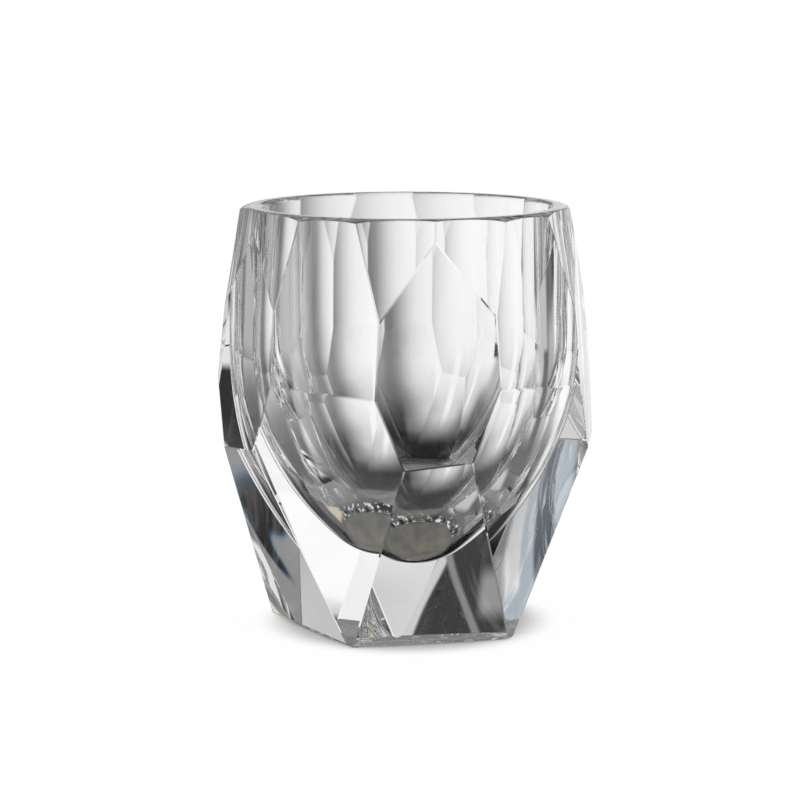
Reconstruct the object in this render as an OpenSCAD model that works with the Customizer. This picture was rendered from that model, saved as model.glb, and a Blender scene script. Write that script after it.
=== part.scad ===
// Faceted drinking tumbler in clear acrylic: a smooth inner cup bonded into a thick cut jacket.
// The axis is Z, the foot stands on Z = 0 and the first foot facet faces -Y.
// A facet's turn is counted from its foot facet, anticlockwise seen from above.

/* [Overall] */
// Height from the table to the top of the rim
height = 100; // [92:1:115]
// Sectors of facets round the axis
sectors = 5; // [5:1:6]

/* [Inner cup] */
// Inner radius of the mouth, just under the rounded lip
mouth_radius = 34; // [30:0.5:37]
// Thickness of the cup's wall
cup_wall = 2.5; // [2:0.1:3.5]
// Solid acrylic from the table to the lowest point of the drinking space
base_thickness = 21; // [14:0.5:28]
// Radius of the drinking space across its bottom
bottom_round = 17; // [14:0.5:20]
// Radius of the long curve from the bottom to the wall
side_round = 57; // [52:1:64]
// Draft of the wall above that curve, in degrees
wall_draft = 1.5; // [0.5:0.1:2]
// Radius of the lip's inner edge
lip_round = 1.2; // [0.6:0.1:1.8]

/* [Jacket rim] */
// Radius of the shoulder that rounds the facets off into the lip
shoulder_round = 4.5; // [3.5:0.1:6]

/* [Foot facets] */
// Distance from the axis to a foot facet, at the table
foot_reach = 26.5; // [24:0.5:29]
// Outward lean of a foot facet, in degrees
foot_lean = 21; // [18:0.5:24]
// Width of the bevel round the foot, measured along the table
bevel_width = 1.2; // [0.6:0.1:2]
// Outward lean of that bevel, in degrees
bevel_lean = 58; // [50:1:65]

/* [Kite facets] */
// Turn of a kite facet
kite_turn = 32; // [29:0.5:39]
// Distance from the axis to a kite facet, at the table
kite_reach = 32.3; // [31:0.1:34]
// Outward lean of a kite facet, in degrees
kite_lean = 9.8; // [8:0.2:12]

/* [Shield facets] */
// Turn of a shield facet
shield_turn = -2.5; // [-6:0.5:6]
// Height of the belt, where the tumbler is widest
belt_height = 45; // [40:1:52]
// Distance from the axis to a shield facet, at the belt
shield_reach = 43.9; // [41:0.1:47]
// Inward lean of a shield facet, in degrees
shield_lean = 5; // [3:0.2:7]

/* [Panel facets] */
// Turn of a panel facet
panel_turn = 33; // [30:0.5:38]
// Acrylic between the cup's wall and a panel facet, at the rim
panel_cover = 2.1; // [1.2:0.1:3]
// Inward lean of a panel facet, in degrees
panel_lean = 6.2; // [5:0.2:8]

/* [Crown facets] */
// Turn of a left-hand crown facet
left_crown_turn = -14; // [-18:0.5:-10]
// Acrylic between the cup's wall and a left-hand crown facet, at the rim
left_crown_cover = 1.2; // [0.8:0.1:2]
// Inward lean of a left-hand crown facet, in degrees
left_crown_lean = 13; // [11:0.2:15]
// Turn of a right-hand crown facet
right_crown_turn = 6.5; // [4:0.5:12]
// Acrylic between the cup's wall and a right-hand crown facet, at the rim
right_crown_cover = 1.4; // [0.8:0.1:2]
// Inward lean of a right-hand crown facet, in degrees
right_crown_lean = 12; // [11:0.2:15]

/* [Hidden] */
$fn = 96;
// Overlap of cutting shapes past the faces that they cut
past = 1;
// Largest step along a curved outline, in degrees
arc_step = 3;
// Extra lean that keeps the shoulder's flare outside every facet
flare_spare = 4;

sector_angle = 360 / sectors;
rim_z = height - lip_round;
lip_radius = mouth_radius + cup_wall / cos(wall_draft);
cutter = 2 * (height + shield_reach);

// Drinking space: a bottom arc and a long side arc, tangent to each other and to the drafted wall
wall_normal = [cos(wall_draft), -sin(wall_draft)];
wall_rise = [sin(wall_draft), cos(wall_draft)];
bottom_centre = [0, base_thickness + bottom_round];
bottom_to_wall = mouth_radius * cos(wall_draft) - (rim_z - bottom_centre.y) * sin(wall_draft);
side_across = bottom_to_wall - side_round;
side_up = sqrt(pow(side_round - bottom_round, 2) - pow(side_across, 2));
side_centre = bottom_centre + side_across * wall_normal + side_up * wall_rise;
arcs_meet = atan2(bottom_centre.y - side_centre.y, -side_centre.x);

// Rounded shoulder of the jacket, and the flare below it
flare = max(left_crown_lean, right_crown_lean, panel_lean) + flare_spare;
shoulder_centre = [lip_radius, height - shoulder_round];
shoulder_end = shoulder_centre + shoulder_round * [cos(flare), sin(flare)];
flare_foot = shoulder_end.x + shoulder_end.y * tan(flare);

// Points of an arc from one angle to another, in degrees
function arc(centre, radius, from, to) =
    let (steps = ceil(abs(to - from) / arc_step))
    [for (i = [0 : steps]) let (a = from + (to - from) * i / steps) centre + radius * [cos(a), sin(a)]];

// Half section of the drinking space, grown outwards by grow and closed over the top by the points of mouth
module cup_section(grow, mouth) {
    bottom = arc(bottom_centre, bottom_round + grow, -90, arcs_meet);
    side = arc(side_centre, side_round + grow, arcs_meet, -wall_draft);
    polygon(concat(bottom, [for (i = [1 : len(side) - 1]) side[i]], mouth));
}

// Half section of everything inside the jacket, up to the height top
module cup_outside(top) {
    cup_section(cup_wall, [[lip_radius, rim_z], [lip_radius, top], [0, top]]);
}

// Half section of the lip's rounded inner edge
module lip_edge() {
    intersection() {
        translate([mouth_radius + lip_round, rim_z]) circle(lip_round);
        translate([mouth_radius - past, rim_z]) square([lip_round + past, lip_round + past]);
    }
}

// Half section of the jacket before its facets are cut
module jacket_section() {
    difference() {
        union() {
            polygon([[0, 0], [flare_foot, 0], shoulder_end, [0, shoulder_end.y]]);
            intersection() {
                translate(shoulder_centre) circle(shoulder_round);
                translate([0, shoulder_end.y]) square([cutter, height + past - shoulder_end.y]);
            }
        }
        cup_outside(height + past);
    }
}

// Block that cuts one flat facet, at a distance reach from the axis at height at, leaning inwards by lean
module facet(turn, lean, reach, at) {
    rotate(turn)
        translate([0, -reach, at])
            rotate([-lean, 0, 0])
                translate([-cutter / 2, -cutter, -cutter / 2]) cube(cutter);
}

// The facets of one sector, from the foot up to the rim
module sector_facets() {
    facet(0, -bevel_lean, foot_reach - bevel_width, 0);
    facet(0, -foot_lean, foot_reach, 0);
    facet(kite_turn, -kite_lean, kite_reach, 0);
    facet(shield_turn, shield_lean, shield_reach, belt_height);
    facet(panel_turn, panel_lean, lip_radius + panel_cover, height);
    facet(left_crown_turn, left_crown_lean, lip_radius + left_crown_cover, height);
    facet(right_crown_turn, right_crown_lean, lip_radius + right_crown_cover, height);
}

// Thin smooth cup that holds the drink and carries the lip
module inner_cup() {
    lip_top = mouth_radius + lip_round;
    color("ghostwhite", 0.6) rotate_extrude() {
        difference() {
            cup_outside(height);
            cup_section(0, [[mouth_radius, rim_z], [lip_top, height], [lip_top, height + past], [0, height + past]]);
        }
        lip_edge();
    }
}

// Thick clear jacket with the solid foot, cut all round into facets
module faceted_jacket() {
    color("aliceblue", 0.4) difference() {
        rotate_extrude() jacket_section();
        for (sector = [0 : sectors - 1]) rotate(sector * sector_angle) sector_facets();
    }
}

inner_cup();
faceted_jacket();
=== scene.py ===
import math

import bmesh
import bpy
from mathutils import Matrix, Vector


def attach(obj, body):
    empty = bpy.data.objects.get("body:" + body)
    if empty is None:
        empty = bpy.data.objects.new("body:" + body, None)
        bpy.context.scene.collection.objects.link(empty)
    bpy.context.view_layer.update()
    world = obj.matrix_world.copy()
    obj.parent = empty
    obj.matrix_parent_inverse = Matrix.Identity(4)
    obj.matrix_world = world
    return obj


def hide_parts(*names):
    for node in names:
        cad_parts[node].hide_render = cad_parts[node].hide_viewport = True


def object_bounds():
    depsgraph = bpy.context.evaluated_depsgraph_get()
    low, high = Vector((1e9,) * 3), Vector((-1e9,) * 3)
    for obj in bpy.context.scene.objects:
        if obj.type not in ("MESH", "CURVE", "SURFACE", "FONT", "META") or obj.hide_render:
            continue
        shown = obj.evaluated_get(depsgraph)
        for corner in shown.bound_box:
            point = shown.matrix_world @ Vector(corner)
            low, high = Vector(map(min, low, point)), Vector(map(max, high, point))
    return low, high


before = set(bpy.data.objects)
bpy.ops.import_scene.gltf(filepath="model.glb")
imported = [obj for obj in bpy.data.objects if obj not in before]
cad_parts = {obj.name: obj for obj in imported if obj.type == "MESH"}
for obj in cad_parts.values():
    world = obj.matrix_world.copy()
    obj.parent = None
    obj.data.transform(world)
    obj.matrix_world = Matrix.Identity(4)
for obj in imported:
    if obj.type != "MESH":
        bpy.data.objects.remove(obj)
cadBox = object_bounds()
scene = bpy.context.scene
scene.view_settings.view_transform = "Standard"
mm = 0.001
tumblerHeight = cadBox[1].z / mm
print("frame loaded:", sorted(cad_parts))


def hexColour(code):
    def linear(channel):
        return channel / 12.92 if channel <= 0.04045 else ((channel + 0.055) / 1.055) ** 2.4
    return [linear(int(code[i:i + 2], 16) / 255) for i in (1, 3, 5)] + [1]


# adds a node, sets its properties, and fills each input with a link or a plain value
def addNode(tree, kind, inputs=None, **settings):
    node = tree.nodes.new(kind)
    for name, value in settings.items():
        setattr(node, name, value)
    for socket, source in (inputs or {}).items():
        if isinstance(source, bpy.types.NodeSocket):
            tree.links.new(source, node.inputs[socket])
        else:
            node.inputs[socket].default_value = source
    return node


# Acrylic, moulded and polished: water-clear all through, bends light less than crystal,
# and its wide faces are never quite flat, so what is seen through them wavers a little.
def polishedAcrylic():
    look = {"ior": 1.49, "tint": "#ffffff", "waveLength": 30, "waveDepth": 0.1,
            "footHeight": 0.1, "scuffSize": 4, "scuffRoughness": 0.4}
    material = bpy.data.materials.new("polishedAcrylic")
    material.use_nodes = True
    tree = material.node_tree
    tree.nodes.clear()
    place = addNode(tree, "ShaderNodeTexCoord").outputs["Object"]
    waves = addNode(tree, "ShaderNodeTexNoise", {
        "Vector": place, "Scale": 1 / (look["waveLength"] * mm), "Detail": 0.0})
    wavering = addNode(tree, "ShaderNodeBump", {
        "Strength": 1.0, "Distance": look["waveDepth"] * mm, "Height": waves.outputs[0]})
    # the flat underside is scuffed by standing, everything else keeps its polish
    height = addNode(tree, "ShaderNodeSeparateXYZ", {0: place}).outputs["Z"]
    underneath = addNode(tree, "ShaderNodeMapRange", {0: height, 1: look["footHeight"] * mm, 2: 0.0})
    scuffs = addNode(tree, "ShaderNodeTexNoise", {
        "Vector": place, "Scale": 1 / (look["scuffSize"] * mm), "Detail": 4.0})
    worn = addNode(tree, "ShaderNodeMath", {
        0: underneath.outputs[0], 1: scuffs.outputs[0]}, operation="MULTIPLY")
    dull = addNode(tree, "ShaderNodeMath", {
        0: worn.outputs[0], 1: look["scuffRoughness"]}, operation="MULTIPLY")
    acrylic = addNode(tree, "ShaderNodeBsdfPrincipled", {
        "Normal": wavering.outputs[0],
        "Base Color": hexColour(look["tint"]),
        "Roughness": dull.outputs[0],
        "IOR": look["ior"],
        "Transmission Weight": 1.0,
    })
    addNode(tree, "ShaderNodeOutputMaterial", {"Surface": acrylic.outputs["BSDF"]})
    return material


# points of an arc, angles in degrees
def arc(centre, radius, start, end, step):
    count = math.ceil(abs(end - start) / step)
    angles = [math.radians(start + (end - start) * i / count) for i in range(count + 1)]
    return [(centre[0] + radius * math.cos(a), centre[1] + radius * math.sin(a)) for a in angles]


cup = {
    "mouthRadius": 34,      # mm, as all lengths in these dictionaries
    "wall": 2.5,
    "baseThickness": 21,
    "bottomRound": 17,
    "sideRound": 57,
    "wallDraft": 1.5,       # degrees, as all angles
    "lipRound": 1.2,
    "shoulderRound": 4.5,
    "flare": 17,
    "arcStep": 1.5,
    "lipStep": 6,
    "sideStep": 0.75,
    "segments": 288,
    "weld": 0.002,
}


# half section of the uncut tumbler, from the middle of the foot round to the middle of the drinking space
def blankOutline(size):
    draft = math.radians(size["wallDraft"])
    rim = tumblerHeight - size["lipRound"]
    lipRadius = size["mouthRadius"] + size["wall"] / math.cos(draft)
    across = Vector((math.cos(draft), -math.sin(draft)))
    along = Vector((math.sin(draft), math.cos(draft)))
    bottom = Vector((0, size["baseThickness"] + size["bottomRound"]))
    toWall = size["mouthRadius"] * math.cos(draft) - (rim - bottom.y) * math.sin(draft)
    shift = toWall - size["sideRound"]
    rise = math.sqrt((size["sideRound"] - size["bottomRound"]) ** 2 - shift ** 2)
    side = bottom + shift * across + rise * along
    meet = math.degrees(math.atan2(bottom.y - side.y, -side.x))
    shoulder = (lipRadius, tumblerHeight - size["shoulderRound"])
    step = size["arcStep"]
    shoulderArc = arc(shoulder, size["shoulderRound"], size["flare"], 90, step)
    flareFoot = shoulderArc[0][0] + shoulderArc[0][1] * math.tan(math.radians(size["flare"]))
    lipArc = arc((size["mouthRadius"] + size["lipRound"], rim), size["lipRound"], 90, 180, size["lipStep"])
    sideArc = arc(side, size["sideRound"], -size["wallDraft"], meet, size["sideStep"])
    bottomArc = arc(bottom, size["bottomRound"], meet, -90, step)
    return [(0, 0), (flareFoot, 0)] + shoulderArc + lipArc + sideArc + bottomArc[1:]


def turnedBlank(name, size):
    shape = bmesh.new()
    points = [shape.verts.new((r * mm, 0, z * mm)) for r, z in blankOutline(size)]
    edges = [shape.edges.new(pair) for pair in zip(points, points[1:])]
    bmesh.ops.spin(shape, geom=points + edges, axis=(0, 0, 1), cent=(0, 0, 0), dvec=(0, 0, 0),
                   angle=math.tau, steps=size["segments"], use_merge=True)
    bmesh.ops.remove_doubles(shape, verts=shape.verts, dist=size["weld"] * mm)
    bmesh.ops.recalc_face_normals(shape, faces=shape.faces)
    for face in shape.faces:
        face.smooth = True
    mesh = bpy.data.meshes.new(name)
    shape.to_mesh(mesh)
    shape.free()
    blank = bpy.data.objects.new(name, mesh)
    scene.collection.objects.link(blank)
    return blank


# each ring of facets: its turn and inward lean, and its reach from the axis at one height
lipReach = cup["mouthRadius"] + cup["wall"]
facetRings = {
    "footBevel": {"Turn": 0, "Lean": -58, "Reach": 25.3, "Height": 0},
    "foot": {"Turn": 0, "Lean": -21, "Reach": 26.5, "Height": 0},
    "kite": {"Turn": 32, "Lean": -9.8, "Reach": 32.3, "Height": 0},
    "shield": {"Turn": -2.5, "Lean": 5, "Reach": 43.9, "Height": 45},
    "panel": {"Turn": 33, "Lean": 6.2, "Reach": lipReach + 2.1, "Height": tumblerHeight},
    "leftCrown": {"Turn": -14, "Lean": 13, "Reach": lipReach + 1.2, "Height": tumblerHeight},
    "rightCrown": {"Turn": 6.5, "Lean": 12, "Reach": lipReach + 1.4, "Height": tumblerHeight},
}
cutting = {"Sectors": 5, "Wheel": 300, "edgeBreak": 0.4, "shortestEdge": 3, "leastDepth": 0.001}


# one ring of flat facets, ground off all round by copies of a square wheel
def facetRingTree(material):
    tree = bpy.data.node_groups.new("facetRing", "GeometryNodeTree")
    tree.interface.new_socket("Geometry", in_out="INPUT", socket_type="NodeSocketGeometry")
    for name in ("Turn", "Lean", "Reach", "Height", "Wheel"):
        tree.interface.new_socket(name, in_out="INPUT", socket_type="NodeSocketFloat")
    tree.interface.new_socket("Sectors", in_out="INPUT", socket_type="NodeSocketInt")
    tree.interface.new_socket("Geometry", in_out="OUTPUT", socket_type="NodeSocketGeometry")
    given = addNode(tree, "NodeGroupInput").outputs
    side = addNode(tree, "ShaderNodeCombineXYZ", {
        "X": given["Wheel"], "Y": given["Wheel"], "Z": given["Wheel"]})
    wheel = addNode(tree, "GeometryNodeMeshCube", {"Size": side.outputs[0]})
    back = addNode(tree, "ShaderNodeMath", {0: given["Wheel"], 1: -0.5}, operation="MULTIPLY")
    face = addNode(tree, "ShaderNodeCombineXYZ", {"Y": back.outputs[0]})
    dressed = addNode(tree, "GeometryNodeTransform", {
        "Geometry": wheel.outputs["Mesh"], "Translation": face.outputs[0]})
    inward = addNode(tree, "ShaderNodeMath", {0: given["Lean"], 1: -1.0}, operation="MULTIPLY")
    tilt = addNode(tree, "ShaderNodeCombineXYZ", {"X": inward.outputs[0]})
    forward = addNode(tree, "ShaderNodeMath", {0: given["Reach"], 1: -1.0}, operation="MULTIPLY")
    place = addNode(tree, "ShaderNodeCombineXYZ", {"Y": forward.outputs[0], "Z": given["Height"]})
    leant = addNode(tree, "GeometryNodeTransform", {
        "Geometry": dressed.outputs[0], "Translation": place.outputs[0], "Rotation": tilt.outputs[0]})
    points = addNode(tree, "GeometryNodePoints", {"Count": given["Sectors"]})
    index = addNode(tree, "GeometryNodeInputIndex")
    sector = addNode(tree, "ShaderNodeMath", {0: math.tau, 1: given["Sectors"]}, operation="DIVIDE")
    turn = addNode(tree, "ShaderNodeMath", {
        0: index.outputs[0], 1: sector.outputs[0], 2: given["Turn"]}, operation="MULTIPLY_ADD")
    heading = addNode(tree, "ShaderNodeCombineXYZ", {"Z": turn.outputs[0]})
    wheels = addNode(tree, "GeometryNodeInstanceOnPoints", {
        "Points": points.outputs[0], "Instance": leant.outputs[0], "Rotation": heading.outputs[0]})
    cut = addNode(tree, "GeometryNodeMeshBoolean", {
        "Mesh 1": given["Geometry"], "Mesh 2": wheels.outputs[0]},
        operation="DIFFERENCE", solver="MANIFOLD")
    whole = addNode(tree, "GeometryNodeRealizeInstances", {"Geometry": cut.outputs["Mesh"]})
    clad = addNode(tree, "GeometryNodeSetMaterial", {"Geometry": whole.outputs[0], "Material": material})
    addNode(tree, "NodeGroupOutput", {"Geometry": clad.outputs[0]})
    return tree


# turns an object's modifiers into its mesh
def bake(item):
    depsgraph = bpy.context.evaluated_depsgraph_get()
    mesh = bpy.data.meshes.new_from_object(item.evaluated_get(depsgraph))
    item.modifiers.clear()
    item.data = mesh


# slices away all that lies beyond a plane and closes the cut with one flat face
def sliceOff(shape, point, normal):
    beyond = [vert for vert in shape.verts if (vert.co - point).dot(normal) > 0]
    faces = {face for vert in beyond for face in vert.link_faces}
    if not faces:
        return
    edges = {edge for face in faces for edge in face.edges}
    verts = {vert for face in faces for vert in face.verts}
    sliced = bmesh.ops.bisect_plane(shape, geom=[*faces, *edges, *verts], dist=1e-9, plane_co=point,
                                    plane_no=normal, clear_outer=True)
    rim = [part for part in sliced["geom_cut"] if isinstance(part, bmesh.types.BMEdge)]
    bmesh.ops.contextual_create(shape, geom=rim)


# polishing takes the sharpness off: a narrow flat along every edge between two facets
def breakEdges(item, size):
    width, least = size["edgeBreak"] * mm, size["leastDepth"] * mm
    shape = bmesh.new()
    shape.from_mesh(item.data)
    flats = []
    for edge in shape.edges:
        flat = not any(face.smooth for face in edge.link_faces)
        if flat and edge.calc_length() > size["shortestEdge"] * mm:
            first, second = (face.normal for face in edge.link_faces)
            normal = (first + second).normalized()
            depth = width / 2 * math.tan(first.angle(second) / 2)
            flats.append((edge.verts[0].co - normal * depth, normal, depth))
    for point, normal, depth in flats:
        if depth > least:
            sliceOff(shape, point, normal)
    bmesh.ops.dissolve_degenerate(shape, dist=least, edges=shape.edges)
    shape.to_mesh(item.data)
    shape.free()


def cutTumbler(material):
    blank = turnedBlank("cut_tumbler", cup)
    tree = facetRingTree(material)
    inputs = {s.name: s.identifier for s in tree.interface.items_tree if s.in_out == "INPUT"}
    for name, ring in facetRings.items():
        ringCut = blank.modifiers.new(name, "NODES")
        ringCut.node_group = tree
        ringCut[inputs["Turn"]] = math.radians(ring["Turn"])
        ringCut[inputs["Lean"]] = math.radians(ring["Lean"])
        ringCut[inputs["Reach"]] = ring["Reach"] * mm
        ringCut[inputs["Height"]] = ring["Height"] * mm
        ringCut[inputs["Wheel"]] = cutting["Wheel"] * mm
        ringCut[inputs["Sectors"]] = cutting["Sectors"]
    bake(blank)
    breakEdges(blank, cutting)
    return blank


acrylic = polishedAcrylic()
tumbler = cutTumbler(acrylic)
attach(tumbler, "root")
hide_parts("inner_cup", "faceted_jacket")
print("tumbler cut:", len(tumbler.data.polygons), "faces")


# lengths in mm, angles in degrees, and the pixel of the frame that the tumbler's middle falls on
shot = {"distance": 650, "elevation": 9.5, "azimuth": -12.6, "focalPixels": 2725, "centre": (406.6, 414.0),
        "frame": 800, "sensor": 36, "nearest": 10, "farthest": 100000}


def photoCamera(view):
    camera = bpy.data.objects.new("photoCamera", bpy.data.cameras.new("photoCamera"))
    scene.collection.objects.link(camera)
    azimuth, elevation = math.radians(view["azimuth"]), math.radians(view["elevation"])
    away = Vector((math.sin(azimuth) * math.cos(elevation), -math.cos(azimuth) * math.cos(elevation),
                   math.sin(elevation)))
    aim = Vector((0, 0, tumblerHeight / 2 * mm))
    camera.location = aim + away * view["distance"] * mm
    camera.rotation_euler = (-away).to_track_quat("-Z", "Y").to_euler()
    camera.data.sensor_width = view["sensor"]
    camera.data.lens = view["focalPixels"] / view["frame"] * view["sensor"]
    half = view["frame"] / 2
    camera.data.shift_x = (half - view["centre"][0]) / view["frame"]
    camera.data.shift_y = (view["centre"][1] - half) / view["frame"]
    camera.data.clip_start = view["nearest"] * mm
    camera.data.clip_end = view["farthest"] * mm
    scene.camera = camera


photoCamera(shot)


# What the acrylic sees: pale sheets, dark gaps, and on the floor painted light and painted shade round the
# foot, laid one over another in this order.
# Angles are counted from the photograph's side towards its right, so 180 is behind. The four limits
# are where a patch begins to fade in, where it is full, and where it starts and ends fading out.
# A band is a distance from the axis in mm on the floor, and a height in degrees round the walls.
# A lean turns a patch by so many degrees for each degree above a height, a crisp patch fades in faster,
# and a grain breaks a patch up into specks of a size in mm, between two levels of noise.
floorPatches = {
    "leftPaper": {"angles": (196, 220, 262, 275), "band": (40, 240, 440, 600), "colour": "#bcbcbc"},
    "farLeftPaper": {"angles": (258, 275, 318, 332), "band": (30, 90, 5000, 6000), "colour": "#f4f4f4"},
    "frontPaper": {"angles": (-62, -50, 40, 50), "band": (36, 96, 5000, 6000), "colour": "#dcdcdc"},
    "rightPaper": {"angles": (64, 70, 98, 106), "band": (60, 125, 5000, 6000), "colour": "#f0f0f0"},
    "cornerPaper": {"angles": (38, 52, 60, 74), "band": (90, 150, 5000, 6000), "colour": "#a0a0a0"},
    "farRightPaper": {"angles": (98, 106, 132, 146), "band": (480, 600, 5000, 6000), "colour": "#f0f0f0"},
    "frontShade": {"angles": (-24, -8, 26, 42), "band": (18, 26, 48, 76), "colour": "#1c1c1c"},
    "sidePaper": {"angles": (92, 98, 111, 118), "band": (80, 140, 480, 600), "colour": "#c0c0c0"},
    "rightGap": {"angles": (102, 108, 114, 120), "band": (45, 70, 180, 230), "colour": "#606060"},
    "backRightPaper": {"angles": (114, 121, 136, 146), "band": (50, 130, 220, 270), "colour": "#b0b0b0"},
    "footShade": {"angles": (110, 130, 228, 242), "band": (20, 25, 42, 62), "colour": "#000000"},
    "leftFoot": {"angles": (250, 257, 272, 282), "band": (23, 26, 32, 38), "colour": "#c8bda8"},
    "rightFoot": {"angles": (42, 54, 72, 84), "band": (28, 32, 40, 48), "colour": "#c8c8c8"},
    # painted shade on the floor under the foot, mottled by noise
    "shadeUnderFoot": {"angles": (-181, -180, 180, 181), "band": (-2, -1, 20, 22), "grain": (11, 0.35, 0.75),
                  "colour": "#7c786c"},
    "glints": {"angles": (-95, -80, 100, 112), "band": (21, 22.5, 25, 29), "grain": (3.2, 0.56, 0.62),
               "colour": "#e8e8e8"},
    "glintShade": {"angles": (-95, -80, 100, 112), "band": (20.5, 22, 24, 27), "grain": (3.2, 0.44, 0.38),
                   "colour": "#000000"},
    "leftGap": {"angles": (190, 197, 209, 214), "band": (24, 28, 64, 120), "colour": "#101010"},
    # painted light: a pool of light on the floor behind the tumbler, in three fades that dim into painted
    # shadow towards the foot
    "poolOfLightNear": {"angles": (138, 160, 168, 196), "band": (44, 86, 5000, 6000), "colour": "#d8d8d8"},
    "poolOfLightMiddle": {"angles": (128, 146, 170, 204), "band": (80, 150, 5000, 6000), "colour": "#e6e6e6"},
    "poolOfLightFar": {"angles": (134, 144, 160, 200), "band": (100, 230, 5000, 6000), "colour": "#ffffff"},
    "farGap": {"angles": (190, 196, 212, 220), "band": (420, 600, 5000, 6000), "colour": "#000000"},
    # painted light: a brighter ray through the pool of light
    "poolOfLightRay": {"angles": (161, 163, 166, 169), "band": (55, 110, 5000, 6000), "colour": "#ffffff"},
    # painted shade: a black edge along the right side of the pool of light
    "poolShadeEdge": {"angles": (128, 133, 142.6, 143.2), "band": (240, 280, 532, 580), "colour": "#000000"},
}
wallPatches = {
    "leftWall": {"angles": (262, 272, 306, 320), "band": (-20, -10, 10, 18), "colour": "#f4f4f4"},
    "frontWall": {"angles": (-30, -10, 32, 38), "band": (-20, -10, 6, 14), "colour": "#303030"},
    "rightWall": {"angles": (36, 42, 88, 104), "band": (-20, -10, 18, 28), "colour": "#f4f4f4"},
    "overhead": {"angles": (-22, -12, 12, 22), "band": (14, 22, 52, 55), "colour": "#b8b8b8"},
    "farWall": {"angles": (180, 184, 206, 214), "band": (3, 4.5, 7, 8), "colour": "#d8d8d8"},
    "highBack": {"angles": (160, 172, 186, 198), "band": (26, 34, 72, 85), "colour": "#989898"},
    "lowBackdrop": {"angles": (138, 143, 176, 192), "band": (-20, -10, 7, 12), "colour": "#f8f8f8"},
    "highBackdrop": {"angles": (150, 153, 157, 160), "band": (9, 12, 15, 18), "colour": "#d0d0d0"},
    "doorPost": {"angles": (201.2, 201.3, 202.6, 203), "lean": (-0.47, 12), "band": (9, 10, 14, 15),
                 "colour": "#d4d4d4"},
    "doorway": {"angles": (198.7, 199, 201.28, 201.42), "lean": (-0.47, 12), "band": (9, 10, 14, 15),
                "colour": "#383838"},
    "doorStreak": {"angles": (200.14, 200.27, 200.34, 200.46), "lean": (0.5, 12), "band": (9, 10, 14, 15),
                   "colour": "#8a8a8a"},
    "doorLight": {"angles": (198.6, 198.9, 199.7, 200), "band": (11.4, 11.9, 12.4, 12.9),
                  "colour": "#989898"},
    "window": {"angles": (228.6, 229.1, 233.3, 233.6), "lean": (0.8, 14), "band": (7, 9, 19, 21),
               "colour": "#c4d2dc"},
    "blind": {"angles": (229.9, 230.2, 231.2, 231.5), "lean": (0.8, 14), "band": (7, 9, 19, 21),
              "colour": "#243b50"},
    "windowPane": {"angles": (232.1, 232.4, 233.1, 233.4), "lean": (0.8, 14), "band": (12.8, 13.4, 19, 21),
                   "colour": "#ffffff"},
    "standBoard": {"angles": (132, 133, 135.5, 136.5), "band": (8.5, 9.5, 12.5, 14), "colour": "#939393"},
    "standSheen": {"angles": (134.04, 134.22, 134.22, 134.4), "lean": (0.55, 11.75),
                   "band": (10.4, 11.75, 11.75, 13.1), "crisp": 4, "colour": "#1d5470"},
    "stand": {"angles": (134.08, 134.22, 134.22, 134.36), "lean": (0.55, 11.75),
              "band": (10.6, 11.75, 11.75, 12.9), "crisp": 5, "colour": "#000000"},
}
floorShade, wallShade = "#606060", "#808080"    # where no patch lies


# 1 inside a band of four limits, fading smoothly to 0 at its ends
def fade(tree, value, limits):
    rise = addNode(tree, "ShaderNodeMapRange", {
        "Value": value, "From Min": limits[0], "From Max": limits[1]}, interpolation_type="SMOOTHSTEP")
    fall = addNode(tree, "ShaderNodeMapRange", {
        "Value": value, "From Min": limits[3], "From Max": limits[2]}, interpolation_type="SMOOTHSTEP")
    both = addNode(tree, "ShaderNodeMath", {0: rise.outputs[0], 1: fall.outputs[0]}, operation="MULTIPLY")
    return both.outputs[0]


# colour of a set of patches, from the direction of a point round the axis and its band value
def patchwork(tree, place, band, patches, shade):
    axes = addNode(tree, "ShaderNodeSeparateXYZ", {0: place})
    ahead = addNode(tree, "ShaderNodeMath", {0: axes.outputs["Y"], 1: -1.0}, operation="MULTIPLY")
    turn = addNode(tree, "ShaderNodeMath", {0: axes.outputs["X"], 1: ahead.outputs[0]}, operation="ARCTAN2")
    angle = addNode(tree, "ShaderNodeMath", {
        0: turn.outputs[0], 1: 180 / math.pi, 2: -shot["azimuth"]}, operation="MULTIPLY_ADD")
    colour = hexColour(shade)
    for patch in patches.values():
        middle = (patch["angles"][0] + patch["angles"][3]) / 2
        near = addNode(tree, "ShaderNodeMath", {
            0: angle.outputs[0], 1: middle + 180, 2: middle - 180}, operation="WRAP").outputs[0]
        if "lean" in patch:
            slope, level = patch["lean"]
            above = addNode(tree, "ShaderNodeMath", {0: band, 1: level}, operation="SUBTRACT")
            near = addNode(tree, "ShaderNodeMath", {
                0: above.outputs[0], 1: -slope, 2: near}, operation="MULTIPLY_ADD").outputs[0]
        across = fade(tree, near, patch["angles"])
        along = fade(tree, band, patch["band"])
        inside = addNode(tree, "ShaderNodeMath", {0: across, 1: along}, operation="MULTIPLY")
        cover = addNode(tree, "ShaderNodeMath", {
            0: inside.outputs[0], 1: patch.get("crisp", 1)}, operation="MULTIPLY", use_clamp=True)
        if "grain" in patch:
            size, least, most = patch["grain"]
            speckle = addNode(tree, "ShaderNodeTexNoise", {
                "Vector": place, "Scale": 1 / (size * mm), "Detail": 2.0})
            amount = addNode(tree, "ShaderNodeMapRange", {0: speckle.outputs[0], 1: least, 2: most})
            cover = addNode(tree, "ShaderNodeMath", {
                0: cover.outputs[0], 1: amount.outputs[0]}, operation="MULTIPLY")
        laid = addNode(tree, "ShaderNodeMix", {
            0: cover.outputs[0], 6: colour, 7: hexColour(patch["colour"])}, data_type="RGBA")
        colour = laid.outputs[2]
    return colour


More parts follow.
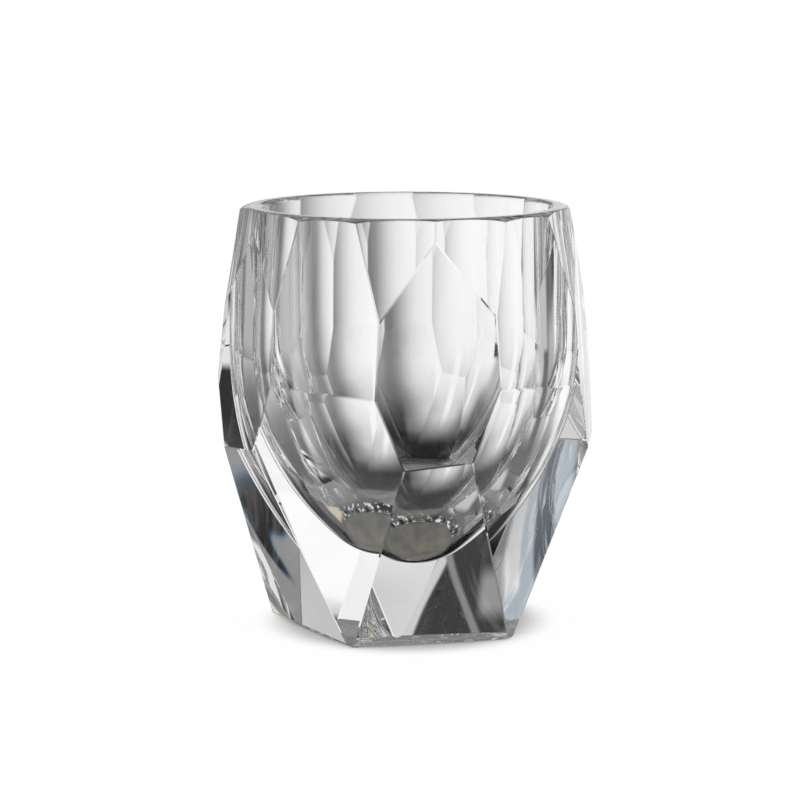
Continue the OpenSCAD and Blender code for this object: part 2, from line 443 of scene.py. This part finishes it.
# 1 for what is seen in or through the acrylic, 0 for what is seen or lit directly
def throughAcrylic(tree):
    path = addNode(tree, "ShaderNodeLightPath")
    seen = addNode(tree, "ShaderNodeMath", {
        0: path.outputs["Is Glossy Ray"], 1: path.outputs["Is Transmission Ray"]}, operation="MAXIMUM")
    return seen.outputs[0]


# the floor keeps the tumbler's shadow close round the foot, and a small rest of it farther out
floorSize = {"radius": 4000, "segments": 64, "gap": 0.05,
             "shadowFrom": 26, "shadowTo": 37, "shadowRest": 0.03}


# White paper: matt and even, so that only the soft shadow of the foot shows on it when seen directly. Seen
# in or through the acrylic it glows instead with the floor patches, painted light and painted shade.
def studioFloor(size):
    floor = bpy.data.objects.new("floor", bpy.data.meshes.new("floor"))
    shape = bmesh.new()
    bmesh.ops.create_circle(shape, cap_ends=True, segments=size["segments"], radius=size["radius"] * mm)
    bmesh.ops.translate(shape, verts=shape.verts, vec=(0, 0, -size["gap"] * mm))
    shape.to_mesh(floor.data)
    shape.free()
    scene.collection.objects.link(floor)
    paper = bpy.data.materials.new("whitePaper")
    paper.use_nodes = True
    tree = paper.node_tree
    tree.nodes.clear()
    place = addNode(tree, "ShaderNodeTexCoord").outputs["Object"]
    flat = addNode(tree, "ShaderNodeVectorMath", {0: place, 1: (1 / mm, 1 / mm, 0)}, operation="MULTIPLY")
    reach = addNode(tree, "ShaderNodeVectorMath", {0: flat.outputs[0]}, operation="LENGTH")
    sheets = patchwork(tree, place, reach.outputs["Value"], floorPatches, floorShade)
    # seen in or through the acrylic the floor glows with the patchwork: painted light and shade
    seen = addNode(tree, "ShaderNodeEmission", {"Color": sheets})
    white = addNode(tree, "ShaderNodeBsdfDiffuse", {"Color": hexColour("#ffffff")})
    bright = addNode(tree, "ShaderNodeEmission", {"Color": hexColour("#ffffff")})
    beyond = addNode(tree, "ShaderNodeMapRange", {
        "Value": reach.outputs["Value"], "From Min": size["shadowFrom"], "From Max": size["shadowTo"],
        "To Max": 1 - size["shadowRest"]}, interpolation_type="SMOOTHSTEP")
    bare = addNode(tree, "ShaderNodeMixShader", {
        0: beyond.outputs[0], 1: white.outputs[0], 2: bright.outputs[0]})
    both = addNode(tree, "ShaderNodeMixShader", {
        0: throughAcrylic(tree), 1: bare.outputs[0], 2: seen.outputs[0]})
    addNode(tree, "ShaderNodeOutputMaterial", {"Surface": both.outputs[0]})
    floor.data.materials.append(paper)


def studioWalls():
    world = bpy.data.worlds.new("studio")
    world.use_nodes = True
    tree = world.node_tree
    tree.nodes.clear()
    way = addNode(tree, "ShaderNodeTexCoord").outputs["Generated"]
    axes = addNode(tree, "ShaderNodeSeparateXYZ", {0: way})
    rise = addNode(tree, "ShaderNodeMath", {0: axes.outputs["Z"]}, operation="ARCSINE")
    height = addNode(tree, "ShaderNodeMath", {0: rise.outputs[0], 1: 180 / math.pi}, operation="MULTIPLY")
    sheets = patchwork(tree, way, height.outputs[0], wallPatches, wallShade)
    walls = addNode(tree, "ShaderNodeBackground", {"Color": sheets})
    white = addNode(tree, "ShaderNodeBackground", {"Color": hexColour("#ffffff")})
    both = addNode(tree, "ShaderNodeMixShader", {
        0: throughAcrylic(tree), 1: white.outputs[0], 2: walls.outputs[0]})
    addNode(tree, "ShaderNodeOutputWorld", {"Surface": both.outputs[0]})
    scene.world = world


studioFloor(floorSize)
studioWalls()
# light is trapped many times over in the acrylic before it comes out
bounces = 32
scene.cycles.max_bounces = bounces
scene.cycles.glossy_bounces = bounces
scene.cycles.transmission_bounces = bounces
print("studio set")
